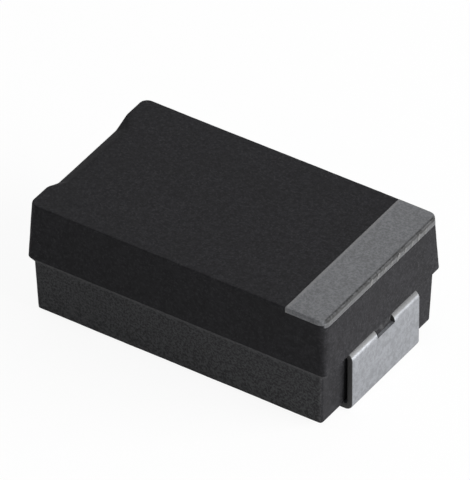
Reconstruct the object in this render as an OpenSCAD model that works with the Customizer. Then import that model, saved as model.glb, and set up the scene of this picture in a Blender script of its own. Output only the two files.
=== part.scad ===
// Surface-mount tantalum capacitor in a moulded epoxy case, size 7343-31, in millimetres.
//
// The part stands on the feet of its two terminals. The origin is on the board, under the
// middle of the part. +X points to the anode end, which carries the stripe, and +Z is up.
//
// It is built in the order in which it is made: a coated tantalum slug is welded and glued
// to two leadframe strips, and the case is moulded round them. So the case is its outer
// form less every piece that it holds, and each layer is its outer form less what it covers.

/* [Case] */
// Width of the case at its parting line
case_width = 4.3; // [4:0.02:4.6]
// Height of the case's top above the board
case_top = 2.77; // [2.7:0.01:3.1]
// Height of the parting line above the board
parting_height = 1.43; // [1.35:0.01:1.5]
// Draft of both halves of the mould, in degrees
draft_angle = 2; // [0.5:0.5:4]
// Radius of the upright corners at the top
top_corner_r = 0.2; // [0.15:0.01:0.4]
// Radius of the upright corners at the parting line
parting_corner_r = 0.12; // [0.05:0.01:0.3]
// Radius of the lower half's upright corners
lower_corner_r = 0.08; // [0.05:0.01:0.3]
// Radius of the top edge
top_edge_r = 0.06; // [0.03:0.01:0.1]
// Inset of the lower half at each long side, under the sloping rim
rim_inset_side = 0.08; // [0.04:0.01:0.16]

/* [Bevel at the cathode end] */
// Length of the bevel in the middle of the top edge
bevel_length = 0.3; // [0.15:0.01:0.6]
// Depth of the bevel at the end face
bevel_depth = 0.17; // [0.08:0.01:0.2]
// Width of the bevel's flat
bevel_width = 2.1; // [1.5:0.1:2.6]
// Width of the slope at each side of the flat
bevel_flank = 0.4; // [0.2:0.02:0.6]

/* [Polarity stripe] */
// Width of the stripe on the top
stripe_width = 0.94; // [0.6:0.02:1.3]
// Depth to which the marking colours the epoxy
stripe_depth = 0.02; // [0.01:0.005:0.03]
// How far the marking runs down the end face
stripe_end_wrap = 0.2; // [0.12:0.02:0.4]
// How far the marking runs down the long sides
stripe_side_wrap = 0.1; // [0.04:0.02:0.2]

/* [Terminals] */
// Length of the part over its terminals
terminal_span = 7.3; // [6.6:0.01:8]
// How far each terminal stands out past the case's parting line
terminal_proud = 0.06; // [0.02:0.01:0.1]
// Width of both terminals
terminal_width = 2.48; // [2.2:0.02:2.6]
// Thickness of the leadframe strip
terminal_thickness = 0.13; // [0.1:0.005:0.15]
// Inside radius of every bend in the strip
bend_radius = 0.05; // [0.03:0.01:0.08]
// Length of each foot along the board
foot_length = 1.3; // [1:0.05:1.5]
// Width of the notch in the middle of each terminal's top edge
notch_width = 0.64; // [0.4:0.02:0.9]
// How far the notch runs down below the strip's underside
notch_drop = 0.06; // [0.02:0.01:0.2]
// How far the notch runs back into the case
notch_reach = 0.2; // [0.1:0.02:0.3]
// Gap between each terminal's upright run and the case's end under the rim
upright_gap = 0.05; // [0.02:0.01:0.1]
// Depth of each foot's pocket under the case
pocket_depth = 0.03; // [0.01:0.005:0.08]
// Clearance round each foot in its pocket
foot_clearance = 0.02; // [0.01:0.005:0.05]

/* [Leads inside the case] */
// Length of full-width strip gripped in each end wall
grip_length = 0.45; // [0.35:0.01:0.5]
// Width of the tab that the wire is welded to
tab_width = 1.3; // [0.8:0.05:1.8]
// Reach of the tab into the case from the parting line's end
tab_reach = 1.2; // [1.05:0.05:1.3]
// How deep the weld flattens the wire on the tab
weld_depth = 0.03; // [0.01:0.005:0.05]
// Length along the part of the step down to the tongue
step_run = 0.45; // [0.4:0.01:0.5]
// Length of the tongue under the slug
tongue_length = 3; // [2:0.1:3.4]

/* [Slug and its layers] */
// Epoxy between the case's top and the coated slug
cover_top = 0.29; // [0.2:0.01:0.5]
// Epoxy between each long side of the case and the coated slug, at the parting line
cover_side = 0.42; // [0.3:0.01:0.7]
// Epoxy between the case's underside and the tongue
cover_bottom = 0.43; // [0.3:0.01:0.5]
// Gap between the foot of the cathode lead's step and the coated slug
step_gap = 0.36; // [0.2:0.01:0.6]
// Radius of the slug's long edges
slug_edge_r = 0.25; // [0.1:0.01:0.4]
// Diameter of the anode wire
wire_diameter = 0.4; // [0.3:0.01:0.5]
// Length of the wire inside the slug
wire_embed = 1.4; // [0.8:0.1:2.4]
// Length of the wire on the tab
weld_length = 0.6; // [0.4:0.05:0.8]
// Diameter of the insulating washer
washer_diameter = 1.2; // [0.8:0.05:1.4]
// Thickness of the insulating washer
washer_thickness = 0.12; // [0.08:0.01:0.15]
// Gap between the washer and the tab
washer_gap = 0.12; // [0.08:0.01:0.2]
// Thickness of the manganese dioxide
dioxide_thickness = 0.05; // [0.03:0.005:0.06]
// Thickness of the graphite
graphite_thickness = 0.03; // [0.02:0.005:0.04]
// Thickness of the silver paint
silver_thickness = 0.05; // [0.03:0.005:0.06]
// Bare length left by the graphite at the wire's end of the slug
graphite_setback = 0.15; // [0.1:0.01:0.25]
// Length of graphite left bare by the silver paint at the same end
silver_setback = 0.15; // [0.05:0.01:0.3]
// Thickness of the silver adhesive between tongue and silver paint
adhesive_thickness = 0.06; // [0.04:0.005:0.08]
// Bare margin of the tongue round the silver adhesive
adhesive_margin = 0.2; // [0.1:0.02:0.4]

/* [Hidden] */

// Steps in a quarter turn of the case's corners and of its top edge
corner_steps = 6;
edge_steps = 4;
// Steps in each bend of the strip
bend_steps = 8;
// Facets of the cylinders that carry over as true round surfaces
round_facets = 64;
// Overshoot of a cut past the face that it opens
past = 1;

// Half sizes of the case at the parting line, and the inset of the draft at the top
half_length = terminal_span / 2 - terminal_proud;
half_width = case_width / 2;
top_inset = (case_top - parting_height) * tan(draft_angle);
// The rim under the parting line is as high as the strip that leaves through it, and at the
// ends it slopes back until the strip clears the case
rim_bottom = parting_height - terminal_thickness;
rim_inset_end = terminal_thickness - terminal_proud + upright_gap;
// The underside stands off the board by what the feet show below their pockets
standoff = terminal_thickness - pocket_depth;
// Half length of the top, where both end faces meet it
top_end = half_length - top_inset;

// Slope of the bevel's flat, in degrees
bevel_slope = atan(bevel_depth / bevel_length);

// Middle lines of the strips' upright and level runs
strip_face = terminal_span / 2 - terminal_thickness / 2;
strip_level = parting_height - terminal_thickness / 2;
foot_level = terminal_thickness / 2;
foot_end = terminal_span / 2 - foot_length;
grip_end = half_length - grip_length;
tab_end = half_length - tab_reach;

// Heights: the wire lies on the tab. The tongue lies over the epoxy of the underside, and
// the slug in its coatings fills the height between the tongue and the epoxy of the top.
coat_thickness = dioxide_thickness + graphite_thickness + silver_thickness;
wire_level = parting_height + wire_diameter / 2 - weld_depth;
tongue_level = standoff + cover_bottom + terminal_thickness / 2;
tongue_top = tongue_level + terminal_thickness / 2;
slug_bottom = tongue_top + adhesive_thickness + coat_thickness;
slug_top = case_top - cover_top - coat_thickness;
slug_level = (slug_bottom + slug_top) / 2;
slug_width = case_width - 2 * (cover_side + coat_thickness);

// Lengths: washer and slug follow on from the tab's end, and the slug reaches to the gap
// before the step of the cathode lead
washer_start = tab_end - washer_gap - washer_thickness;
slug_end = washer_start - dioxide_thickness;
tongue_start = grip_end - step_run;
tongue_end = -tongue_start + tongue_length;
slug_start = -tongue_start + step_gap + coat_thickness;
graphite_end = slug_end - graphite_setback;
silver_end = graphite_end - silver_setback;

// ---- Outlines -------------------------------------------------------------------------

// Points of a rectangle with round corners, anticlockwise, centred on the origin
function round_rectangle(half_x, half_y, r, steps) = [
    for (quarter = [0 : 3])
        let (side_x = quarter == 0 || quarter == 3 ? 1 : -1, side_y = quarter < 2 ? 1 : -1)
        for (step = [0 : steps])
            let (turn = 90 * (quarter + step / steps))
            [side_x * (half_x - r) + r * cos(turn), side_y * (half_y - r) + r * sin(turn)]
];

// Unit vector from one point of a path to the next, and its direction turned by an angle
function heading(from, to) = (to - from) / norm(to - from);
function turned(v, a) = [v.x * cos(a) - v.y * sin(a), v.x * sin(a) + v.y * cos(a)];
function turn_between(a, b) = atan2(a.x * b.y - a.y * b.x, a.x * b.x + a.y * b.y);

// One side of a strip that follows a path, with an arc of the given middle radius at each
// corner. The side lies at the offset to the left of the path, or to its right if negative.
function strip_side(path, radius, offset) =
    let (last = len(path) - 1)
    concat(
        [path[0] + offset * turned(heading(path[0], path[1]), 90)],
        [for (i = [1 : last - 1])
            let (
                before = heading(path[i - 1], path[i]),
                bend = turn_between(before, heading(path[i], path[i + 1])),
                side = sign(bend),
                centre = path[i] - before * radius * tan(abs(bend) / 2)
                    + side * radius * turned(before, 90)
            )
            for (step = [0 : bend_steps])
                let (left = turned(before, 90 + bend * step / bend_steps))
                centre + (offset - side * radius) * left
        ],
        [path[last] + offset * turned(heading(path[last - 1], path[last]), 90)]
    );

// Outline of the whole strip: down its left side and back along its right side
function strip_outline(path, radius, thickness) =
    let (right = strip_side(path, radius, -thickness / 2))
    concat(
        strip_side(path, radius, thickness / 2),
        [for (i = [len(right) - 1 : -1 : 0]) right[i]]
    );

// ---- Forms ----------------------------------------------------------------------------

// Closed skin over level outlines with equal counts of points. Each entry is an outline
// and its height, from the lowest to the highest.
module loft(levels) {
    count = len(levels[0][0]);
    points = [for (level = levels) for (p = level[0]) [p.x, p.y, level[1]]];
    walls = [
        for (k = [0 : len(levels) - 2])
            for (i = [0 : count - 1])
                let (a = k * count + i, b = k * count + (i + 1) % count)
                each [[a, a + count, b + count], [a, b + count, b]]
    ];
    floor_face = [for (i = [0 : count - 1]) i];
    roof_face = [for (i = [count - 1 : -1 : 0]) (len(levels) - 1) * count + i];
    polyhedron(points = points, faces = concat([floor_face], walls, [roof_face]));
}

// One level of the case: insets from the parting line's outline, corner radius, height
function case_level(inset_end, inset_side, r, z) = [
    round_rectangle(half_length - inset_end, half_width - inset_side, r, corner_steps), z
];

// Outer form of the case. A skin that is peeled off it makes it smaller all round.
module case_form(peel = 0) {
    lower_draft = (rim_bottom - standoff) * tan(draft_angle);
    edge_start = (case_top - top_edge_r - parting_height) * tan(draft_angle);
    loft(concat(
        [
            case_level(rim_inset_end + lower_draft + peel, rim_inset_side + lower_draft + peel,
                lower_corner_r, standoff + peel),
            case_level(rim_inset_end + peel, rim_inset_side + peel, lower_corner_r, rim_bottom),
            case_level(peel, peel, parting_corner_r, parting_height)
        ],
        [for (step = [0 : edge_steps])
            let (
                lift = 90 * step / edge_steps,
                rounding = top_edge_r * (1 - cos(lift)) + peel
            )
            case_level(edge_start + rounding, edge_start + rounding, top_corner_r - rounding,
                case_top - top_edge_r * (1 - sin(lift)) - peel)
        ]
    ));
}

// What the bevel takes from the top edge at the cathode end: a flat-bottomed channel that
// rises from the end face and runs out on the top
module bevel_cut() {
    slope_length = bevel_length / cos(bevel_slope);
    flank_spread = past * bevel_flank / (bevel_depth * cos(bevel_slope));
    channel = [
        [-bevel_width / 2, 0], [bevel_width / 2, 0],
        [bevel_width / 2 + flank_spread, past], [-bevel_width / 2 - flank_spread, past]
    ];
    translate([-top_end + bevel_length, 0, case_top])
        rotate([0, -bevel_slope, 0])
            rotate([90, 0, 90])
                translate([0, 0, -2 * slope_length])
                    linear_extrude(height = 3 * slope_length)
                        polygon(channel);
}

// Pocket under the case for one foot. The foot's upper face seats on the pocket's roof.
module foot_pocket() {
    pocket_width = terminal_width + 2 * foot_clearance;
    translate([foot_end - foot_clearance, -pocket_width / 2, standoff - past])
        cube([half_length, pocket_width, pocket_depth + past]);
}

// The zone that the marking covers: the top and its long edges, and the top of the end face
module stripe_zone() {
    translate([top_end - stripe_width, -half_width - past, case_top - stripe_side_wrap])
        cube([stripe_width + past, case_width + 2 * past, stripe_side_wrap + past]);
    translate([top_end - top_edge_r, top_corner_r - half_width, case_top - stripe_end_wrap])
        cube([top_edge_r + past, case_width - 2 * top_corner_r, stripe_end_wrap + past]);
}

// A strip folded along a path in the XZ plane
module folded_strip(path, width) {
    rotate([90, 0, 0])
        linear_extrude(height = width, center = true)
            polygon(strip_outline(path, bend_radius + terminal_thickness / 2,
                terminal_thickness));
}

// The notch punched across the upper bend, seen from the side of the anode end
module notch_cut() {
    translate([half_length - notch_reach, -notch_width / 2, rim_bottom - notch_drop])
        cube([notch_reach + past, notch_width, notch_drop + terminal_thickness + past]);
}

// The slug's bar with its round long edges, grown all round, between two places along X
module round_bar(from, to, grow) {
    outline = round_rectangle((slug_top - slug_bottom) / 2 + grow, slug_width / 2 + grow,
        slug_edge_r + grow, corner_steps);
    translate([from, 0, slug_level])
        rotate([0, 90, 0])
            linear_extrude(height = to - from)
                polygon(outline);
}

// Outer forms of the slug and its three layers. Each runs past the last by its thickness
// at the closed end, and graphite and silver paint stop short of the wire's end.
module slug_form() round_bar(slug_start, slug_end, 0);

module dioxide_form() {
    round_bar(slug_start - dioxide_thickness, slug_end + dioxide_thickness, dioxide_thickness);
}

module graphite_form() {
    grow = dioxide_thickness + graphite_thickness;
    round_bar(slug_start - grow, graphite_end, grow);
}

module silver_form() {
    round_bar(slug_start - coat_thickness, silver_end, coat_thickness);
}

// ---- Pieces ---------------------------------------------------------------------------

module molded_case() {
    color("#2b2a2e")
        difference() {
            case_form();
            bevel_cut();
            for (side = [0, 180]) rotate([0, 0, side]) foot_pocket();
            polarity_stripe();
            anode_terminal();
            cathode_terminal();
            dioxide_form();
            graphite_form();
            silver_form();
            insulating_washer();
            anode_wire();
            silver_adhesive();
        }
}

module polarity_stripe() {
    color("#a4a5a9")
        difference() {
            intersection() {
                case_form();
                stripe_zone();
            }
            case_form(stripe_depth);
        }
}

module anode_terminal() {
    path = [
        [foot_end, foot_level], [strip_face, foot_level],
        [strip_face, strip_level], [tab_end, strip_level]
    ];
    shoulder = (terminal_width - tab_width) / 2;
    color("#c3c6cc")
        difference() {
            folded_strip(path, terminal_width);
            notch_cut();
            // The strip narrows to the tab where the end wall has gripped it
            for (side = [-1, 1])
                translate([tab_end - past, side * (tab_width + shoulder + past) / 2, strip_level])
                    translate([0, -(shoulder + past) / 2, -terminal_thickness])
                        cube([past + grip_end - tab_end, shoulder + past, 2 * terminal_thickness]);
        }
}

module cathode_terminal() {
    path = [
        [foot_end, foot_level], [strip_face, foot_level],
        [strip_face, strip_level], [grip_end, strip_level],
        [tongue_start, tongue_level], [tongue_start - tongue_length, tongue_level]
    ];
    color("#c3c6cc")
        mirror([1, 0, 0])
            difference() {
                folded_strip(path, terminal_width);
                notch_cut();
            }
}

module tantalum_slug() {
    color("#6d7078")
        difference() {
            slug_form();
            anode_wire();
        }
}

module anode_wire() {
    wire_start = slug_end - wire_embed;
    color("#9a9da6")
        difference() {
            translate([wire_start, 0, wire_level])
                rotate([0, 90, 0])
                    cylinder(d = wire_diameter, h = tab_end + weld_length - wire_start,
                        $fn = round_facets);
            // The weld leaves a flat where the wire lies on the tab
            translate([tab_end, -wire_diameter, parting_height - wire_diameter])
                cube([weld_length + past, 2 * wire_diameter, wire_diameter]);
        }
}

module insulating_washer() {
    color("#e9e7df")
        translate([washer_start, 0, wire_level])
            rotate([0, 90, 0])
                difference() {
                    cylinder(d = washer_diameter, h = washer_thickness, $fn = round_facets);
                    translate([0, 0, -past])
                        cylinder(d = wire_diameter, h = washer_thickness + 2 * past,
                            $fn = round_facets);
                }
}

module manganese_dioxide() {
    color("#1d1b1c")
        difference() {
            dioxide_form();
            slug_form();
            anode_wire();
        }
}

module graphite_layer() {
    color("#3b3d42")
        difference() {
            graphite_form();
            dioxide_form();
        }
}

module silver_paint() {
    color("#cfd0d1")
        difference() {
            silver_form();
            graphite_form();
        }
}

module silver_adhesive() {
    pad_start = slug_start - coat_thickness + adhesive_margin;
    pad_end = tongue_end - adhesive_margin;
    pad_width = terminal_width - 2 * adhesive_margin;
    color("#b3b0a6")
        translate([pad_start, -pad_width / 2, tongue_top])
            cube([pad_end - pad_start, pad_width, adhesive_thickness]);
}

molded_case();
polarity_stripe();
anode_terminal();
cathode_terminal();
tantalum_slug();
anode_wire();
insulating_washer();
manganese_dioxide();
graphite_layer();
silver_paint();
silver_adhesive();
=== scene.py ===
# %% [markdown]
# # A surface-mount tantalum capacitor
# A chip tantalum capacitor is a small block of black epoxy, moulded round a coated metal
# slug, with a folded strip of tinned metal at each end. This script dresses the packed
# model of one: the visible pieces are made again with their fine edges and finishes, and
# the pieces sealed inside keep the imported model's meshes and get materials of their own.
# Sizes are worked out in millimetres and become metres where a mesh is made. +X points
# towards the end that carries the stripe.

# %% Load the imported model
import math
import bpy
import numpy as np
from mathutils import Matrix, Vector, noise


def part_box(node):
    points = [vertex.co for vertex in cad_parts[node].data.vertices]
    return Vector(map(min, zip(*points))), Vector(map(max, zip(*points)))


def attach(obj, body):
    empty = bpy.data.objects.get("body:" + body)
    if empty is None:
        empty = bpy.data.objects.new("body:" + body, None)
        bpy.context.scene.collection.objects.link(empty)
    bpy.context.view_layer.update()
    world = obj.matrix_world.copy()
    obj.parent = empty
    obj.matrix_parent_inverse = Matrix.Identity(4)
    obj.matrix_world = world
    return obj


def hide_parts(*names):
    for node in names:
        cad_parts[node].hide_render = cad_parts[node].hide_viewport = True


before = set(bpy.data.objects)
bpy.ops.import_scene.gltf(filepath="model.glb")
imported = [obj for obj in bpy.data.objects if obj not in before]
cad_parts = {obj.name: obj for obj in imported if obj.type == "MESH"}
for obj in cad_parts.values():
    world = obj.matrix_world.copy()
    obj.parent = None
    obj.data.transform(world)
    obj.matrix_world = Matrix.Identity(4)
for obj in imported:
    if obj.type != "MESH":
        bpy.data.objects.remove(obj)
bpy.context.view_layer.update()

MM = 0.001
print("nodes:", ", ".join(sorted(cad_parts)))

# %% [markdown]
# ## The sizes that the pieces share
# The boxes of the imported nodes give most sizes. A box can't tell a radius, a draft or the
# thickness of a strip, so those few are written once where they are first needed, in
# millimetres.

# %% Sizes
case_low, case_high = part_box("molded_case")
anode_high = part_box("anode_terminal")[1]
stripe_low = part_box("polarity_stripe")[0]

HALF_LENGTH = case_high.x / MM      # of the case at its parting line
HALF_WIDTH = case_high.y / MM
CASE_TOP = case_high.z / MM
STANDOFF = case_low.z / MM          # height of the underside above the board
PARTING = anode_high.z / MM         # the strip leaves the case at the parting line
THICKNESS = 0.13                    # of the strip
RIM_BOTTOM = PARTING - THICKNESS
STRIP_END = anode_high.x / MM       # outer face of the upright run
STRIP_WIDTH = 2 * anode_high.y / MM
FOOT_END = 2.35                     # where the feet stop, from the middle
DRAFT = math.tan(math.radians(2))
TOP_INSET = (CASE_TOP - PARTING) * DRAFT
TOP_END = HALF_LENGTH - TOP_INSET
STRIPE_START = stripe_low.x / MM
print(f"case {2 * HALF_LENGTH:.2f} x {2 * HALF_WIDTH:.2f}, top at {CASE_TOP:.2f}, "
      f"parting line at {PARTING:.2f}, strip {STRIP_WIDTH:.2f} x {THICKNESS:.2f}")

# %% [markdown]
# ## The camera
# The camera stands a long way off with a long lens, so that parallel edges stay nearly
# parallel, as in a picture taken through a macro lens. Its place is given by two angles
# round the part and one distance, and two slides move it without turning it.

# %% Camera
AZIMUTH, ELEVATION, ROLL = math.radians(33.47), math.radians(38.05), math.radians(-0.20)
DISTANCE = 200.0                    # from the target, in mm
LENS, SENSOR = 746.25, 36.0         # in mm
SLIDE_RIGHT, SLIDE_UP = 0.0308, 0.4499
TARGET = Vector((0, 0, 1.4))

right = Vector((math.cos(AZIMUTH), math.sin(AZIMUTH), 0))
back = Vector((math.sin(AZIMUTH) * math.cos(ELEVATION),
               -math.cos(AZIMUTH) * math.cos(ELEVATION), math.sin(ELEVATION)))
up = back.cross(right)
cam_right = math.cos(ROLL) * right + math.sin(ROLL) * up
cam_up = math.cos(ROLL) * up - math.sin(ROLL) * right
eye = TARGET + back * DISTANCE + cam_right * SLIDE_RIGHT + cam_up * SLIDE_UP

camera_data = bpy.data.cameras.new("camera")
camera_data.sensor_width, camera_data.lens = SENSOR, LENS
camera_data.clip_start, camera_data.clip_end = 0.001, 10
camera = bpy.data.objects.new("camera", camera_data)
axes = Matrix((cam_right, cam_up, back)).transposed()
camera.matrix_world = Matrix.Translation(eye * MM) @ axes.to_4x4()
bpy.context.scene.collection.objects.link(camera)
bpy.context.scene.camera = camera
print(f"lens {camera_data.lens:.0f} mm at {DISTANCE:.0f} mm")

# %% [markdown]
# ## Node trees as expressions
# A material or a Geometry Nodes tree can be wired node by node, but long wiring hides the
# idea. The class below wraps one socket and gives it Python's operators, so that
# `1 - mask * 0.5` adds the Math nodes that it needs. Every other node comes from `Tree.add`,
# which sets the node's own settings first and then fills or links its sockets.

# %% Expression helpers
class Wire:
    """One output socket. Arithmetic on it adds Math nodes to its tree."""

    def __init__(self, tree, socket):
        self.tree, self.socket = tree, socket

    def math(self, operation, *values):
        return self.tree.add("ShaderNodeMath", {"operation": operation},
                             dict(enumerate(values)))[0]

    def __add__(self, other): return self.math("ADD", self, other)
    def __sub__(self, other): return self.math("SUBTRACT", self, other)
    def __mul__(self, other): return self.math("MULTIPLY", self, other)
    def __radd__(self, other): return self.math("ADD", other, self)
    def __rsub__(self, other): return self.math("SUBTRACT", other, self)
    def __rmul__(self, other): return self.math("MULTIPLY", other, self)
    def __abs__(self): return self.math("ABSOLUTE", self)
    def at_most(self, other): return self.math("MINIMUM", self, other)
    def at_least(self, other): return self.math("MAXIMUM", self, other)

    def ramp(self, low, high, to_low=0.0, to_high=1.0):
        """Rises smoothly from one value to another as the wire goes from low to high."""
        return self.tree.add("ShaderNodeMapRange", {"interpolation_type": "SMOOTHSTEP"},
                             {"Value": self, "From Min": low, "From Max": high,
                              "To Min": to_low, "To Max": to_high})["Result"]


class Made:
    """A node just made. Its outputs are read by name or by number."""

    def __init__(self, tree, node):
        self.tree, self.node = tree, node

    def __getitem__(self, key):
        return Wire(self.tree, self.node.outputs[key])


class Tree:
    """A node tree with one way to add any node."""

    def __init__(self, nodes):
        self.nodes = nodes

    def add(self, kind, settings=None, sockets=None):
        node = self.nodes.nodes.new(kind)
        for key, value in (settings or {}).items():
            setattr(node, key, value)
        for key, value in (sockets or {}).items():
            self.fill(node.inputs[key], value)
        return Made(self, node)

    def fill(self, socket, value):
        if isinstance(value, Wire):
            self.nodes.links.new(value.socket, socket)
        elif isinstance(value, Made):
            self.nodes.links.new(value.node.outputs[0], socket)
        else:
            socket.default_value = value


print("expression helpers ready")

# %% [markdown]
# ## Finishes
# A finish is a tree that ends in a Principled shader. Its patterns read the part's own
# coordinates, so grain and specks keep their real size on every piece. A value that is the
# same all over is set on the shader itself, and `feed` links what changes over the surface.

# %% Finishes
class Finish(Tree):
    """A material: a tree with a Principled shader and the part's own coordinates."""

    def __init__(self, name, **fixed):
        self.material = bpy.data.materials.new(name)
        self.material.use_nodes = True
        super().__init__(self.material.node_tree)
        self.nodes.nodes.clear()
        self.shader = self.add("ShaderNodeBsdfPrincipled", {}, {
            key.replace("_", " "): value for key, value in fixed.items()})
        self.output = self.add("ShaderNodeOutputMaterial", {}, {"Surface": self.shader})
        self.place = self.add("ShaderNodeTexCoord")["Object"]

    def axis(self, name):
        """One coordinate of the surface, in millimetres."""
        return self.add("ShaderNodeSeparateXYZ", {}, {0: self.place})[name] * (1 / MM)

    def facing(self, name):
        """How squarely the surface faces along an axis, from 0 to 1 either way."""
        normal = self.add("ShaderNodeNewGeometry")["Normal"]
        return abs(self.add("ShaderNodeSeparateXYZ", {}, {0: normal})[name])

    def stretch(self, x=1.0, y=1.0, z=1.0):
        """The part's coordinates, squeezed so that a pattern on them is stretched."""
        return self.add("ShaderNodeMapping", {}, {"Vector": self.place, "Scale": (x, y, z)})[0]

    def noise(self, size, detail=2.0, roughness=0.5, where=None):
        """Noise from 0 to 1 whose lumps are about this many millimetres across."""
        return self.add("ShaderNodeTexNoise", {}, {
            "Vector": where or self.place, "Scale": 1 / (size * MM),
            "Detail": detail, "Roughness": roughness})[0]

    def cells(self, size):
        """Distance from the middle of cells about this many millimetres across."""
        return self.add("ShaderNodeTexVoronoi", {}, {
            "Vector": self.place, "Scale": 1 / (size * MM)})["Distance"]

    def blend(self, factor, first, second):
        """A colour between two colours."""
        colours = [(*c, 1) if isinstance(c, tuple) else c for c in (first, second)]
        return self.add("ShaderNodeMix", {"data_type": "RGBA"}, {
            0: factor, 6: colours[0], 7: colours[1]})[2]

    def wear(self, height, depth_mm, strength=1.0):
        """Sends a height from 0 to 1 to the shader's normal as relief of this depth."""
        bump = self.add("ShaderNodeBump", {}, {
            "Height": height, "Distance": depth_mm * MM, "Strength": strength})
        self.fill(self.shader.node.inputs["Normal"], bump)

    def feed(self, **varying):
        for key, value in varying.items():
            self.fill(self.shader.node.inputs[key.replace("_", " ")], value)
        print(f"{self.material.name}: {len(self.nodes.nodes)} nodes for", ", ".join(varying))
        return self.material


def grey(level, tint=(1, 1, 1)):
    return tuple(level * t for t in tint)


print("finish helpers ready")

# %% [markdown]
# ## The form of the moulded case
# The case is cast in a two-part mould. Both halves taper by two degrees so that the part
# lets go, the lower half is a little smaller, and a short sloping rim joins them at the
# parting line. A block with a Bevel modifier would round every edge alike. Instead, a
# table of levels says how far each height lies in from the parting line, and every corner
# of that profile has its own small radius, as the mould's does.

# %% Levels of the case, from the underside to the top
BOTTOM_EDGE_R, RIM_R, PARTING_R, TOP_EDGE_R = 0.04, 0.025, 0.02, 0.06
CORNER_R = {"lower": 0.08, "parting": 0.12, "top": 0.2}
RIM_INSET_END, RIM_INSET_SIDE = 0.12, 0.08
LOWER_INSET = (RIM_BOTTOM - STANDOFF) * DRAFT
STEP = 0.06                         # spacing of the mesh on flat areas


def spaced(start, end, step=STEP):
    """Points from one to the other, without the last, about one step apart."""
    start, end = np.atleast_1d(start).astype(float), np.atleast_1d(end).astype(float)
    count = max(1, round(np.linalg.norm(end - start) / step))
    return [start + (end - start) * k / count for k in range(count)]


def rounded(corners, radii, arc_steps=6):
    """A path through corners, each cut off at its radius by a curve."""
    path, last = [], np.array(corners[0], float)
    for k in range(1, len(corners) - 1):
        corner = np.array(corners[k], float)
        before = corner - np.array(corners[k - 1])
        after = np.array(corners[k + 1]) - corner
        into = corner - before / np.linalg.norm(before) * radii[k - 1]
        out = corner + after / np.linalg.norm(after) * radii[k - 1]
        path += spaced(last, into)
        for t in np.linspace(0, 1, arc_steps + 1)[:-1]:
            path.append((1 - t) ** 2 * into + 2 * t * (1 - t) * corner + t * t * out)
        last = out
    return path + spaced(last, corners[-1]) + [np.array(corners[-1], float)]


# each corner of the profile: inset at the ends, inset at the sides, height, corner radius
PROFILE = [
    (RIM_INSET_END + LOWER_INSET + BOTTOM_EDGE_R, RIM_INSET_SIDE + LOWER_INSET + BOTTOM_EDGE_R,
     STANDOFF, CORNER_R["lower"] - BOTTOM_EDGE_R),
    (RIM_INSET_END + LOWER_INSET, RIM_INSET_SIDE + LOWER_INSET, STANDOFF, CORNER_R["lower"]),
    (RIM_INSET_END, RIM_INSET_SIDE, RIM_BOTTOM, CORNER_R["lower"]),
    (0, 0, PARTING, CORNER_R["parting"]),
    (TOP_INSET, TOP_INSET, CASE_TOP, CORNER_R["top"]),
    (TOP_INSET + TOP_EDGE_R, TOP_INSET + TOP_EDGE_R, CASE_TOP, CORNER_R["top"] - TOP_EDGE_R),
]
SHY = 0.99                          # an edge's curve ends just short of the profile's end
levels = rounded(PROFILE, (BOTTOM_EDGE_R * SHY, RIM_R, PARTING_R, TOP_EDGE_R * SHY))
print(len(levels), "levels, from", levels[0][2], "to", levels[-1][2])

# %% [markdown]
# ## Rows of points across the case
# A grid is laid over the block. Away from the corners a grid point keeps its share of the
# straight run. Inside a corner's square the grid bends into a quarter disc, so the walls
# turn through a true arc and the top stays all quads, with no fan of long triangles.
# The rows crowd together where the stripe starts, at the sides of the pockets of the feet,
# and at the sides of the notches, where the epoxy has filled the strip's notch.

# %% Rows along and across
CORNER_STEPS = 5
POCKET_DEPTH, FOOT_CLEARANCE = 0.03, 0.02
POCKET_END = FOOT_END - FOOT_CLEARANCE
POCKET_SIDE = STRIP_WIDTH / 2 + FOOT_CLEARANCE
LIP = 0.01                          # width of a sharp step in the mesh
NOTCH_HALF, NOTCH_BOTTOM = 0.32, 1.24


def rows(half, marks):
    """Straight share and corner share of each row, from one side to the other. A mark is
    a distance from the middle where two rows stand close together."""
    stops = sorted([-half, half] + [s * m for m in marks for s in (-1, 1)])
    line = []
    for a, b in zip(stops, stops[1:]):
        line += [float(v[0]) for v in spaced(a + LIP / 2, b - LIP / 2)] + [b - LIP / 2]
    straight = [max(-1.0, min(1.0, v / (half - LIP / 2))) for v in line]
    corner = [k / CORNER_STEPS for k in range(1, CORNER_STEPS + 1)]
    return np.array([(-1, -c) for c in reversed(corner)] + [(s, 0) for s in straight]
                    + [(1, c) for c in corner])


RUN_X = HALF_LENGTH - TOP_INSET - CORNER_R["top"]
RUN_Y = HALF_WIDTH - TOP_INSET - CORNER_R["top"]
rows_x = rows(RUN_X, (STRIPE_START,))
rows_y = rows(RUN_Y, (POCKET_SIDE, NOTCH_HALF))
print(len(rows_x), "by", len(rows_y), "rows")

# %% [markdown]
# ## The bevel and the pockets
# In the middle of the top edge at the cathode end the mould leaves a flat-bottomed bevel,
# which shows which end is which even when the print has worn off. Under the case, each
# foot sits in a shallow pocket. Both are rules for how far a point is pushed down or up,
# so the rounded edge follows them round instead of being cut by a Boolean.

# %% Bevel and pocket depths
BEVEL_LENGTH, BEVEL_DEPTH, BEVEL_HALF, BEVEL_FLANK = 0.3, 0.17, 1.05, 0.4
SOFT = 0.012                        # how softly the bevel's planes run into each other


def soft_least(a, b):
    """The lesser of two values, with a rounded meeting."""
    return (a + b - np.sqrt((a - b) ** 2 + SOFT ** 2)) / 2


def bevel_depth(x, y):
    slope = BEVEL_DEPTH * (1 - (x + TOP_END) / BEVEL_LENGTH)
    flank = slope - (np.abs(y) - BEVEL_HALF) * BEVEL_DEPTH / BEVEL_FLANK
    return np.maximum(0, -soft_least(-soft_least(slope, flank), np.zeros_like(x)))


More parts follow.
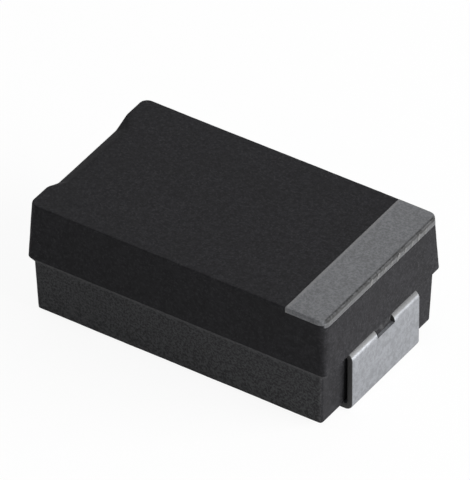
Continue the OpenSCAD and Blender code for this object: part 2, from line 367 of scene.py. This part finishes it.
def pocket_height(x, y):
    inside = (np.abs(x) > POCKET_END) & (np.abs(y) < POCKET_SIDE)
    return np.where(inside, POCKET_DEPTH, 0)


print("bevel at the end face:", round(float(bevel_depth(np.array(-TOP_END), np.array(0.0))), 3))


# %% [markdown]
# ## Points of the skin
# One rule places every grid point at every level: first its place in the rounded outline,
# then the epoxy that fills each strip's notch out to the parting line's face, and last the
# bevel and the pockets, which die away up or down the wall.

# %% Points of the case's skin
LUG_OVERLAP = 0.05                  # how far the notch's epoxy goes down behind the strip
LUG_SETBACK = 0.004                 # its face, behind the parting line's face
BEVEL_FADE, POCKET_FADE = 3, 8      # the higher, the sooner each dies away


def case_points(along, across, level):
    """Where grid points lie, in millimetres, from arrays of row and level numbers."""
    sx, ax = rows_x[along].T
    sy, ay = rows_y[across].T
    inset_end, inset_side, z, r = np.array(levels)[level].T
    far = np.maximum(np.abs(ax), np.abs(ay))
    near = np.minimum(np.abs(ax), np.abs(ay))
    turn = np.pi / 4 * near / np.maximum(far, 1e-9)
    big, small = far * np.cos(turn), far * np.sin(turn)
    steep = np.abs(ay) > np.abs(ax)
    bend_x = np.sign(ax) * np.where(steep, small, big)
    bend_y = np.sign(ay) * np.where(steep, big, small)
    x = sx * (HALF_LENGTH - inset_end - r) + bend_x * r
    y = sy * (HALF_WIDTH - inset_side - r) + bend_y * r
    in_notch = (np.abs(y) < NOTCH_HALF) & (z > NOTCH_BOTTOM - LUG_OVERLAP) & (z < PARTING)
    filled = (np.abs(ax) == 1) & in_notch
    x = np.where(filled, np.sign(x) * (HALF_LENGTH - LUG_SETBACK), x)
    upper = np.clip((z - PARTING) / (CASE_TOP - PARTING), 0, 1)
    z = z - bevel_depth(x, y) * upper ** BEVEL_FADE
    lower = np.clip((RIM_BOTTOM - z) / (RIM_BOTTOM - STANDOFF), 0, 1)
    z = z + pocket_height(x, y) * lower ** POCKET_FADE
    return np.stack((x, y, z), axis=1)


nx, ny, nz = len(rows_x), len(rows_y), len(levels)
number = np.full((nx, ny, nz), -1)
on_skin = np.zeros((nx, ny, nz), bool)
for axis in range(3):
    for end in (0, -1):
        on_skin[tuple(end if a == axis else slice(None) for a in range(3))] = True
cells = np.argwhere(on_skin)
number[on_skin] = np.arange(len(cells))
points = case_points(*cells.T)


def quads(sheet, flip):
    """Quads over a sheet of point numbers."""
    corners = (sheet[:-1, :-1], sheet[1:, :-1], sheet[1:, 1:], sheet[:-1, 1:])
    faces = np.stack([c.ravel() for c in corners], axis=1)
    return faces[:, ::-1] if flip else faces


faces = np.concatenate([
    quads(number[:, :, 0], True), quads(number[:, :, -1], False),
    quads(number[:, 0, :], False), quads(number[:, -1, :], True),
    quads(number[0, :, :], True), quads(number[-1, :, :], False)])
print(len(points), "points,", len(faces), "faces")

# %% [markdown]
# ## Relief in the moulded skin
# A steel mould is spark-eroded, so the epoxy copies a fine matte grain, and it sinks by a
# few thousandths of a millimetre where it is thickest. The coarser part of that relief is
# moved into the mesh here, and the material adds what is finer than the mesh. All of it
# goes inwards, so the case never grows past its size.

# %% Relief
GRAIN_DEPTH, SINK_DEPTH = 0.0035, 0.006
SKIN = 0.003                        # how far even the shallowest point lies in
COARSE, FINE, FINE_SHARE = 7, 15, 0.6       # of the grain, in lumps per mm
GRAIN_MEAN, GRAIN_SWING = 0.8, 0.5
SINK_LUMPS, SINK_PLACE, SINK_MEAN = 0.8, Vector((3, 1, 5)), 0.4


def mesh_object(name, points_mm, polygons):
    """A smooth-shaded mesh object that rides on the part."""
    mesh = bpy.data.meshes.new(name)
    mesh.from_pydata([tuple(p) for p in points_mm * MM], [],
                     [tuple(map(int, f)) for f in polygons])
    mesh.update()
    mesh.shade_smooth()
    made = bpy.data.objects.new(name, mesh)
    bpy.context.scene.collection.objects.link(made)
    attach(made, "root")
    return made


def normals_of(points_mm, polygons):
    """A unit normal at each point, from the faces round it."""
    a, b, c, d = (points_mm[polygons[:, k]] for k in range(4))
    across = np.cross(c - a, d - b)
    total = np.zeros_like(points_mm)
    for k in range(4):
        np.add.at(total, polygons[:, k], across)
    return total / np.maximum(np.linalg.norm(total, axis=1, keepdims=True), 1e-12)


def relief(points_mm):
    """How far in each point lies, from grain and sink together."""
    depth = []
    for p in points_mm:
        grain = noise.noise(Vector(p) * COARSE) + FINE_SHARE * noise.noise(Vector(p) * FINE)
        sink = noise.noise(Vector(p) * SINK_LUMPS + SINK_PLACE)
        depth.append(GRAIN_DEPTH * (GRAIN_MEAN + GRAIN_SWING * grain)
                     + SINK_DEPTH * max(0.0, SINK_MEAN + sink))
    return np.array(depth)


depths = relief(points)
skin_normals = normals_of(points, faces)
skin_points = points - skin_normals * (depths + SKIN)[:, None]
case = mesh_object("case_body", skin_points, faces)
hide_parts("molded_case")
print("relief from", round(depths.min(), 4), "to", round(depths.max(), 4), "mm")

# %% [markdown]
# ## The polarity stripe
# The stripe is a thin film of grey marking over the top, both long edges and the top of
# the end face. It is made from the case's own skin: the same grid points, kept where the
# stripe covers them, lifted by the film's thickness and closed underneath. So it follows
# every rounding, and it can't float or sink.

# %% Stripe film
FILM = 0.004                        # how far the film's face stands over the epoxy
FILM_UNDER = 0.006                  # how far its back lies in the epoxy
END_WRAP, SIDE_WRAP = 0.2, 0.1

centres = points[faces].mean(axis=1)
near_top = centres[:, 2] > CASE_TOP - SIDE_WRAP
on_end = (centres[:, 0] > TOP_END - TOP_EDGE_R) & (centres[:, 2] > CASE_TOP - END_WRAP)
covered = (centres[:, 0] > STRIPE_START) & (near_top | on_end)
film_faces = faces[covered]


def closed_film(name, polygons, over, under):
    """A closed sheet over some of the case's faces."""
    used, local = np.unique(polygons, return_inverse=True)
    local = local.reshape(polygons.shape)
    outer = skin_points[used] + skin_normals[used] * over
    inner = skin_points[used] - skin_normals[used] * under
    edges = np.concatenate([local[:, (k, (k + 1) % 4)] for k in range(4)])
    known = {tuple(e) for e in edges}
    rim = [(a, b) for a, b in known if (b, a) not in known]
    count = len(used)
    walls = [(b, a, a + count, b + count) for a, b in sorted(rim)]
    back_faces = local[:, ::-1] + count
    return mesh_object(name, np.concatenate([outer, inner]),
                       [*local, *back_faces, *walls])


stripe = closed_film("polarity_film", film_faces, FILM, FILM_UNDER)
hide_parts("polarity_stripe")
print("film over", len(film_faces), "faces")

# %% [markdown]
# ## The terminals, swept along their folds
# Each terminal is one strip of sheet metal: a foot on the board, an upright run up the
# end of the case, and a level run that goes in at the parting line. Inside, one narrows to
# the tab that the wire is welded to, and the other steps down to the tongue under the
# slug. A strip follows a path, which is what Geometry Nodes do best: the path's corners
# are filleted, a thin rounded rectangle is swept along it, and the notch is cut last.

# %% Geometry Nodes helpers
def geometry_tree(name, sizes):
    """An empty Geometry Nodes tree with a named input for each size."""
    group = bpy.data.node_groups.new(name, "GeometryNodeTree")
    group.interface.new_socket("Geometry", in_out="INPUT", socket_type="NodeSocketGeometry")
    for key, value in sizes.items():
        kind = "NodeSocketInt" if isinstance(value, int) else "NodeSocketFloat"
        group.interface.new_socket(key, in_out="INPUT", socket_type=kind).default_value = value
    group.interface.new_socket("Geometry", in_out="OUTPUT", socket_type="NodeSocketGeometry")
    tree = Tree(group)
    return tree, tree.add("NodeGroupInput")


def finish_tree(tree, geometry, material):
    """Ends a tree: instances made real, material set."""
    real = tree.add("GeometryNodeRealizeInstances", {}, {"Geometry": geometry})
    painted = tree.add("GeometryNodeSetMaterial", {}, {"Geometry": real, "Material": material})
    tree.add("NodeGroupOutput", {}, {"Geometry": painted})
    return tree.nodes


def grow(name, path_mm, group, values):
    """Runs a tree on a line of points and keeps the result as a plain mesh."""
    seed = bpy.data.meshes.new(name + "_path")
    seed.from_pydata([tuple(Vector(p) * MM) for p in path_mm],
                     [(k, k + 1) for k in range(len(path_mm) - 1)], [])
    grower = bpy.data.objects.new(name + "_path", seed)
    bpy.context.scene.collection.objects.link(grower)
    modifier = grower.modifiers.new("grow", "NODES")
    modifier.node_group = group
    for item in group.interface.items_tree:
        if item.item_type == "SOCKET" and item.in_out == "INPUT" and item.name in values:
            modifier[item.identifier] = values[item.name]
    ready = grower.evaluated_get(bpy.context.evaluated_depsgraph_get())
    mesh = bpy.data.meshes.new_from_object(ready)
    bpy.data.objects.remove(grower)
    mesh.name = name
    made = bpy.data.objects.new(name, mesh)
    bpy.context.scene.collection.objects.link(made)
    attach(made, "root")
    print(name, "has", len(mesh.polygons), "faces")
    return made


# %% [markdown]
# ### The tin finish
# The strip is plated with matte tin, which shows as a pale grey metal, mottled where the
# grains of the plating differ and lightly scratched by handling. The long cut edges of the
# strip are darker and duller. The bend where the strip leaves the case is painted darker and
# less metallic, a painted shade that keeps the bend from catching the light.

# %% Tin
tin = Finish("matte_tin", IOR=1.5)
blotch = tin.noise(0.1, 3, 0.65)
speck = tin.noise(0.045, 2, 0.6)
scratch = tin.noise(0.02, 1, 0.4, tin.stretch(1, 0.12, 1))
COOL = (0.97, 1, 1.06)              # tin's faint blue
cut_edge = tin.facing("Y").ramp(0.6, 0.9)
low_edge = tin.axis("Z").ramp(0.03, 0.11, 1, 0)
pale = tin.blend(blotch.ramp(0.38, 0.62), grey(0.22, COOL), grey(0.275, COOL))
pale = tin.blend(speck.ramp(0.5, 0.75) * 0.5, pale, grey(0.17, COOL))
pale = tin.blend(low_edge * 0.5, pale, grey(0.2))
# painted shade: the bend where the strip leaves the case is darkened and made less metallic, so
# that it doesn't shine
painted_bend_shade = tin.axis("Z").ramp(PARTING - 0.11, PARTING - 0.07)
pale = tin.blend(painted_bend_shade * 0.85, pale, grey(0.075))
tin_finish = tin.feed(
    Base_Color=tin.blend(cut_edge, pale, grey(0.05)),
    Metallic=1 - cut_edge * 0.6 - painted_bend_shade * 0.6,
    Roughness=0.5 + 0.15 * blotch + cut_edge * 0.2)
tin.wear(speck * 0.6 + scratch * 0.4, 0.004)

# %% Swept strips
BEND_R, EDGE_SHARE = 0.05, 0.16     # the edge's rounding is a share of the thickness
NOTCH_START = 3.39                  # on the level run, from the middle of the case
TAB_WIDTH, TAB_START, TAB_END = 1.3, 3.14, 2.3
strip_tree, given = geometry_tree("folded_strip", {
    "Width": STRIP_WIDTH * MM, "Thickness": THICKNESS * MM, "Bend radius": BEND_R * MM,
    "Notch width": 2 * NOTCH_HALF * MM, "Notch bottom": NOTCH_BOTTOM * MM,
    "Notch start": NOTCH_START * MM, "Side": 1.0, "Tab width": TAB_WIDTH * MM,
    "Tab start": TAB_START * MM, "Tab end": TAB_END * MM})
fillet = strip_tree.add("GeometryNodeFilletCurve", {"mode": "POLY"}, {
    "Curve": strip_tree.add("GeometryNodeMeshToCurve", {}, {"Mesh": given["Geometry"]}),
    "Count": 10, "Radius": given["Bend radius"] + given["Thickness"] * 0.5})
section = strip_tree.add("GeometryNodeFilletCurve", {"mode": "POLY"}, {
    "Curve": strip_tree.add("GeometryNodeCurvePrimitiveQuadrilateral", {}, {
        "Width": given["Width"], "Height": given["Thickness"]}),
    "Count": 4, "Radius": given["Thickness"] * EDGE_SHARE})
swept = strip_tree.add("GeometryNodeCurveToMesh", {}, {
    "Curve": fillet, "Profile Curve": section, "Fill Caps": True})


def cutting_block(tree, low, high):
    """A box between two corners given by sizes of the tree."""
    size = [b - a for a, b in zip(low, high)]
    middle = [(a + b) * 0.5 for a, b in zip(low, high)]
    return tree.add("GeometryNodeTransform", {}, {
        "Geometry": tree.add("GeometryNodeMeshCube", {}, {
            "Size": tree.add("ShaderNodeCombineXYZ", {}, dict(enumerate(size)))}),
        "Translation": tree.add("ShaderNodeCombineXYZ", {}, dict(enumerate(middle)))})


BEYOND = 1 * MM                     # how far a cut goes on past the metal
half_notch = given["Notch width"] * 0.5
far = given["Notch start"] + BEYOND
ends = (given["Notch start"] * given["Side"], far * given["Side"])
cuts = [cutting_block(
    strip_tree, (ends[0].at_most(ends[1]), half_notch * -1, given["Notch bottom"]),
    (ends[0].at_least(ends[1]), half_notch, given["Notch bottom"] + BEYOND))]
half_tab, half_strip = given["Tab width"] * 0.5, given["Width"] * 0.5 + 0.1 * MM
for side in (-1, 1):
    inner, outer = half_tab * side, half_strip * side
    cuts.append(cutting_block(
        strip_tree, (given["Tab end"], inner.at_most(outer), given["Notch bottom"]),
        (given["Tab start"], inner.at_least(outer), given["Notch bottom"] + BEYOND)))
carved = swept
for block in cuts:
    carved = strip_tree.add("GeometryNodeMeshBoolean",
                            {"operation": "DIFFERENCE", "solver": "EXACT"},
                            {"Mesh 1": carved, "Mesh 2": block})
strip_group = finish_tree(strip_tree, carved, tin_finish)

MID_UP = STRIP_END - THICKNESS / 2
MID_LEVEL = PARTING - THICKNESS / 2
MID_FOOT = THICKNESS / 2
WIRE_TAB_END = 2.39
STEP_START, STEP_END, TONGUE_END, TONGUE_LEVEL = 3.14, 2.69, -0.31, 0.595
CLEAR_OF_STRIP, SHARP_ANGLE = 5.0, 35
foot_and_rise = [(FOOT_END, 0, MID_FOOT), (MID_UP, 0, MID_FOOT), (MID_UP, 0, MID_LEVEL)]
anode_path = foot_and_rise + [(WIRE_TAB_END, 0, MID_LEVEL)]
cathode_path = [(-x, y, z) for x, y, z in foot_and_rise + [
    (STEP_START, 0, MID_LEVEL), (STEP_END, 0, TONGUE_LEVEL), (TONGUE_END, 0, TONGUE_LEVEL)]]
anode_strip = grow("anode_strip", anode_path, strip_group, {"Side": 1.0})
# the cathode's level run has no tab, so its tab cuts are moved clear of the strip
cathode_strip = grow("cathode_strip", cathode_path, strip_group, {
    "Side": -1.0, "Tab start": (CLEAR_OF_STRIP + 1) * MM, "Tab end": CLEAR_OF_STRIP * MM})
for strip, node in ((anode_strip, "anode_terminal"), (cathode_strip, "cathode_terminal")):
    strip.data.shade_smooth()
    strip.data.set_sharp_from_angle(angle=math.radians(SHARP_ANGLE))
    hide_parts(node)

# %% [markdown]
# ## The print's finish
# Light grey print soaks a little into the epoxy. It is finely mottled, brighter along its
# inner edge where the print piles up, darker down the end face, and broken by a thin dark
# line along the sharp top edge.

# %% Print
INK_TINT = (0.98, 1, 1.05)


def print_finish(name, level):
    """Mottled grey print about this light on the top face."""
    ink = Finish(name, Roughness=0.62, Specular_IOR_Level=0.2)
    grain = ink.noise(0.045, 3, 0.65)
    cloud = ink.noise(0.22, 2, 0.5)
    x, z = ink.axis("X"), ink.axis("Z")
    bead = x.ramp(STRIPE_START + 0.03, STRIPE_START + 0.09, 1, 0)
    edge = x.ramp(TOP_END - 0.08, TOP_END - 0.04) * z.ramp(CASE_TOP - 0.085, CASE_TOP - 0.06)
    face = ink.facing("X").ramp(0.7, 0.95)
    broken = ink.noise(0.1, 2, 0.6).ramp(0.42, 0.6)
    body = ink.blend(grain.ramp(0.35, 0.65), grey(level * 0.78, INK_TINT),
                     grey(level * 1.22, INK_TINT))
    body = ink.blend(cloud.ramp(0.4, 0.8) * 0.25, body, grey(level * 0.8))
    body = ink.blend(bead * 0.5, body, grey(level * 1.5))
    body = ink.blend(face * 0.7, body, grey(level * 0.4))
    body = ink.blend(edge * (0.65 + 0.3 * broken), body, grey(level * 0.12))
    ink.wear(grain, 0.004, 0.8)
    return ink.feed(Base_Color=body)


stripe_finish = print_finish("grey_print", 0.132)
dash_finish = Finish("grey_print_dashes", Roughness=0.6, Specular_IOR_Level=0.2)
dash_grain = dash_finish.noise(0.03, 3, 0.65)
dash_finish.wear(dash_grain, 0.003, 0.7)
dash_material = dash_finish.feed(Base_Color=dash_finish.blend(
    dash_grain.ramp(0.3, 0.7), grey(0.075), grey(0.12)))
stripe.data.materials.append(stripe_finish)

# %% [markdown]
# ## The dashes of the print
# Where the print folds over the end's top edge it breaks up into a row of slanted dashes.
# They repeat by a rule, so a second tree sets one thin pad of print on each point of a
# row, turns it, and varies its size a little with a fixed seed.

# %% Dashes
DASH_PITCH, DASH_FROM, DASH_TO = 0.25, -0.4, 1.6
DASH_DROP = 0.11                    # from the top face down to the row
dash_tree, given = geometry_tree("print_dashes", {
    "Count": int((DASH_TO - DASH_FROM) / DASH_PITCH) + 1, "Pitch": DASH_PITCH * MM,
    "Length": 0.085 * MM, "Width": 0.042 * MM, "Thickness": 0.006 * MM, "Lean": -0.5, "Seed": 7})
row = dash_tree.add("GeometryNodeMeshLine", {"mode": "OFFSET"}, {
    "Count": given["Count"],
    "Start Location": (0, DASH_FROM * MM, 0),
    "Offset": dash_tree.add("ShaderNodeCombineXYZ", {}, {1: given["Pitch"]})})
pad = dash_tree.add("GeometryNodeMeshUVSphere", {}, {"Segments": 12, "Rings": 6, "Radius": 1.0})
shape = dash_tree.add("ShaderNodeCombineXYZ", {}, {
    0: given["Thickness"], 1: given["Width"], 2: given["Length"]})
size = dash_tree.add("ShaderNodeVectorMath", {"operation": "SCALE"}, {
    0: shape, "Scale": dash_tree.add("FunctionNodeRandomValue", {"data_type": "FLOAT"}, {
        "Min": 0.8, "Max": 1.2, "Seed": given["Seed"]})[1]})
turn = dash_tree.add("ShaderNodeCombineXYZ", {}, {0: given["Lean"]})
print_row = dash_tree.add("GeometryNodeInstanceOnPoints", {}, {
    "Points": row, "Instance": pad, "Rotation": turn, "Scale": size})
dash_level = CASE_TOP - DASH_DROP
dash_face = HALF_LENGTH - (dash_level - PARTING) * DRAFT - SKIN
place = dash_tree.add("GeometryNodeTransform", {}, {
    "Geometry": print_row, "Translation": (dash_face * MM, 0, dash_level * MM)})
dash_group = finish_tree(dash_tree, place, dash_material)
# the tree lays out its own row and doesn't use the line that it runs on
dashes = grow("print_dashes", [(0, 0, 0), (0, 0, 0.1)], dash_group, {})
dashes.data.shade_smooth()

# %% [markdown]
# ## The epoxy
# Black moulding epoxy is carbon-filled resin with a lot of ground silica in it. Up close
# it is a dark grey with paler and darker specks, and fully matte. The long sides of the
# lower half are painted paler, a painted bounce light from the white floor, with the grain
# still showing, and a patchy paler band along the sloping rim is a painted highlight.

# %% Epoxy
epoxy = Finish("black_epoxy", Roughness=0.7, Specular_IOR_Level=0.07)
fine = epoxy.noise(0.05, 3, 0.7)
grain = epoxy.noise(0.12, 3, 0.6)
cloud = epoxy.noise(0.6, 3, 0.5)
height = epoxy.axis("Z")
long_side = epoxy.facing("Y").ramp(0.6, 0.9)
lower_half = height.ramp(PARTING - 0.02, PARTING - 0.005, 1, 0)
rim = lower_half * height.ramp(RIM_BOTTOM - 0.1, RIM_BOTTOM + 0.02)
# painted highlight: a patchy paler band along the sloping rim, which faces down towards the
# white floor
painted_rim_light = rim * epoxy.noise(0.12, 3, 0.7).ramp(0.4, 0.7)
tone = epoxy.blend(grain.ramp(0.35, 0.65),
                   grey(0.0125, (1, 0.98, 1.1)), grey(0.0195, (1, 0.99, 1.09)))
tone = epoxy.blend(fine.ramp(0.52, 0.66) * 0.6, tone, grey(0.036, (1, 1, 1.06)))
tone = epoxy.blend(fine.ramp(0.46, 0.34) * 0.5, tone, grey(0.009))
tone = epoxy.blend(cloud.ramp(0.35, 0.7) * 0.22, tone, grey(0.012))
# painted light: the lower half's long sides are lifted to a paler grey, standing in for light
# from the white floor
tone = epoxy.blend(lower_half * long_side * (0.2 + 0.62 * fine.ramp(0.36, 0.64)),
                   tone, grey(0.068, (1, 1.01, 1.04)))
tone = epoxy.blend(painted_rim_light * 0.5, tone, grey(0.075, (1, 1.01, 1.03)))
epoxy_finish = epoxy.feed(Base_Color=tone, Roughness=0.62 + 0.2 * grain)
epoxy.wear(fine * 0.6 + grain * 0.4, 0.006, 0.9)
case.data.materials.append(epoxy_finish)

# %% [markdown]
# ## The pieces sealed inside
# Nothing of these shows while the case is whole, but each is there, and each has the
# finish of what it is made of: porous sintered metal, drawn wire, fluoropolymer, a crust
# of dioxide, graphite, silver paint and silver-filled adhesive. They keep the packed
# model's meshes, so only their materials are set.

# %% Inner finishes
def plain_finish(name, dark, light, lump, depth, stretch=(1, 1, 1), **fixed):
    """A finish mottled between two colours, with relief of the same pattern."""
    made = Finish(name, **fixed)
    pattern = made.noise(lump, 4, 0.65, made.stretch(*stretch))
    pores = made.cells(lump * 0.6).ramp(0.1, 0.6)
    made.wear(pattern * 0.6 + pores * 0.4, depth)
    mottle = pattern.ramp(0.3, 0.7) * (0.6 + 0.4 * pores)
    return made.feed(Base_Color=made.blend(mottle, dark, light),
                     Roughness=fixed["Roughness"] + 0.15 * pattern)


INNER = {
    "tantalum_slug": plain_finish(
        "sintered_metal", grey(0.10), grey(0.22, (0.96, 1, 1.08)), 0.03, 0.008,
        Metallic=0.8, Roughness=0.6),
    "anode_wire": plain_finish(
        "drawn_wire", grey(0.26), grey(0.38, (0.97, 1, 1.05)), 0.03, 0.002, (0.08, 1, 1),
        Metallic=1.0, Roughness=0.3),
    "insulating_washer": plain_finish(
        "fluoropolymer", (0.72, 0.71, 0.66), (0.82, 0.81, 0.76), 0.2, 0.003,
        Roughness=0.4, Subsurface_Weight=0.1),
    "manganese_dioxide": plain_finish(
        "dioxide_crust", grey(0.008), (0.022, 0.019, 0.018), 0.02, 0.008, Roughness=0.75),
    "graphite_layer": plain_finish(
        "graphite", grey(0.03), grey(0.06, (1, 1, 1.05)), 0.05, 0.004,
        Metallic=0.3, Roughness=0.5),
    "silver_paint": plain_finish(
        "silver_paint", grey(0.45), grey(0.62), 0.04, 0.004, Metallic=0.85, Roughness=0.45),
    "silver_adhesive": plain_finish(
        "silver_adhesive", (0.32, 0.31, 0.27), (0.5, 0.48, 0.43), 0.07, 0.008,
        Metallic=0.6, Roughness=0.5),
}
# the nodes that visible pieces stand for get the same finishes as those pieces
KEPT = {"molded_case": epoxy_finish, "polarity_stripe": stripe_finish,
        "anode_terminal": tin_finish, "cathode_terminal": tin_finish}
for node, material in {**INNER, **KEPT}.items():
    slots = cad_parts[node].material_slots
    for slot in slots:
        slot.material = material
    print(node, "takes", material.name)

# %% [markdown]
# ## Floor and light
# The part stands on a plain white floor that runs out of sight. To the camera and in
# reflections the floor and the world are plain white, whatever the lamps do. The floor
# keeps a share of true diffuse shading, so the part still has its soft shadow. One broad
# lamp hangs overhead and a second, lower one stands off the striped end, which makes that
# end the brightest face and leaves the near long side the darkest.

# %% Floor and world
def seen_or_mirrored(tree):
    """1 for a ray from the camera, or one that a glossy or clear surface sends on."""
    path = tree.add("ShaderNodeLightPath")
    return path["Is Camera Ray"].at_least(path["Is Glossy Ray"]).at_least(
        path["Is Transmission Ray"])


SHADED_SHARE = 0.08                 # part of the floor's white that can be shadowed
FLOOR_ALBEDO, PAPER_MOTTLE = 0.88, 0.03
floor_look = Finish("white_floor", Roughness=0.9)
paper = floor_look.noise(0.8, 3, 0.5)
floor_look.feed(Base_Color=floor_look.blend(
    paper, grey(FLOOR_ALBEDO), grey(FLOOR_ALBEDO + PAPER_MOTTLE)))
glow = floor_look.add("ShaderNodeEmission", {}, {"Color": (1, 1, 1, 1), "Strength": 1.0})
mixed = floor_look.add("ShaderNodeMixShader", {}, {
    0: seen_or_mirrored(floor_look) * (1 - SHADED_SHARE), 1: floor_look.shader, 2: glow})
floor_look.fill(floor_look.output.node.inputs["Surface"], mixed)

FLOOR_HALF = 400
floor_mesh = bpy.data.meshes.new("floor")
floor_mesh.from_pydata([(x * FLOOR_HALF * MM, y * FLOOR_HALF * MM, 0)
                        for x, y in ((-1, -1), (1, -1), (1, 1), (-1, 1))], [], [(0, 1, 2, 3)])
floor_mesh.materials.append(floor_look.material)
floor = bpy.data.objects.new("floor", floor_mesh)
bpy.context.scene.collection.objects.link(floor)

WORLD_LEVEL = 0.30
world = bpy.data.worlds.new("studio")
world.use_nodes = True
bpy.context.scene.world = world
room = Tree(world.node_tree)
room.nodes.nodes.clear()
level = WORLD_LEVEL + seen_or_mirrored(room) * (1 - WORLD_LEVEL)
room.add("ShaderNodeOutputWorld", {}, {"Surface": room.add(
    "ShaderNodeBackground", {}, {"Color": (1, 1, 1, 1), "Strength": level})})


# %% Lamps
def lamp(name, place_mm, size_mm, brightness):
    """A square lamp aimed at the part. Brightness 1 lights a white surface that faces it
    to a level of 1."""
    data = bpy.data.lights.new(name, "AREA")
    data.shape, data.size = "SQUARE", size_mm * MM
    place = Vector(place_mm) * MM
    aim = Vector((0, 0, CASE_TOP / 2)) * MM - place
    data.energy = brightness * (math.pi * aim.length) ** 2
    made = bpy.data.objects.new(name, data)
    turned = aim.to_track_quat("-Z", "Y").to_matrix().to_4x4()
    made.matrix_world = Matrix.Translation(place) @ turned
    bpy.context.scene.collection.objects.link(made)
    print(f"{name}: {data.energy * 1000:.1f} mW at {aim.length / MM:.0f} mm")


lamp("overhead", (-30, 40, 120), 170, 0.27)
lamp("end_light", (125, 35, 24), 130, 3.3)

bpy.context.scene.view_settings.view_transform = "Standard"
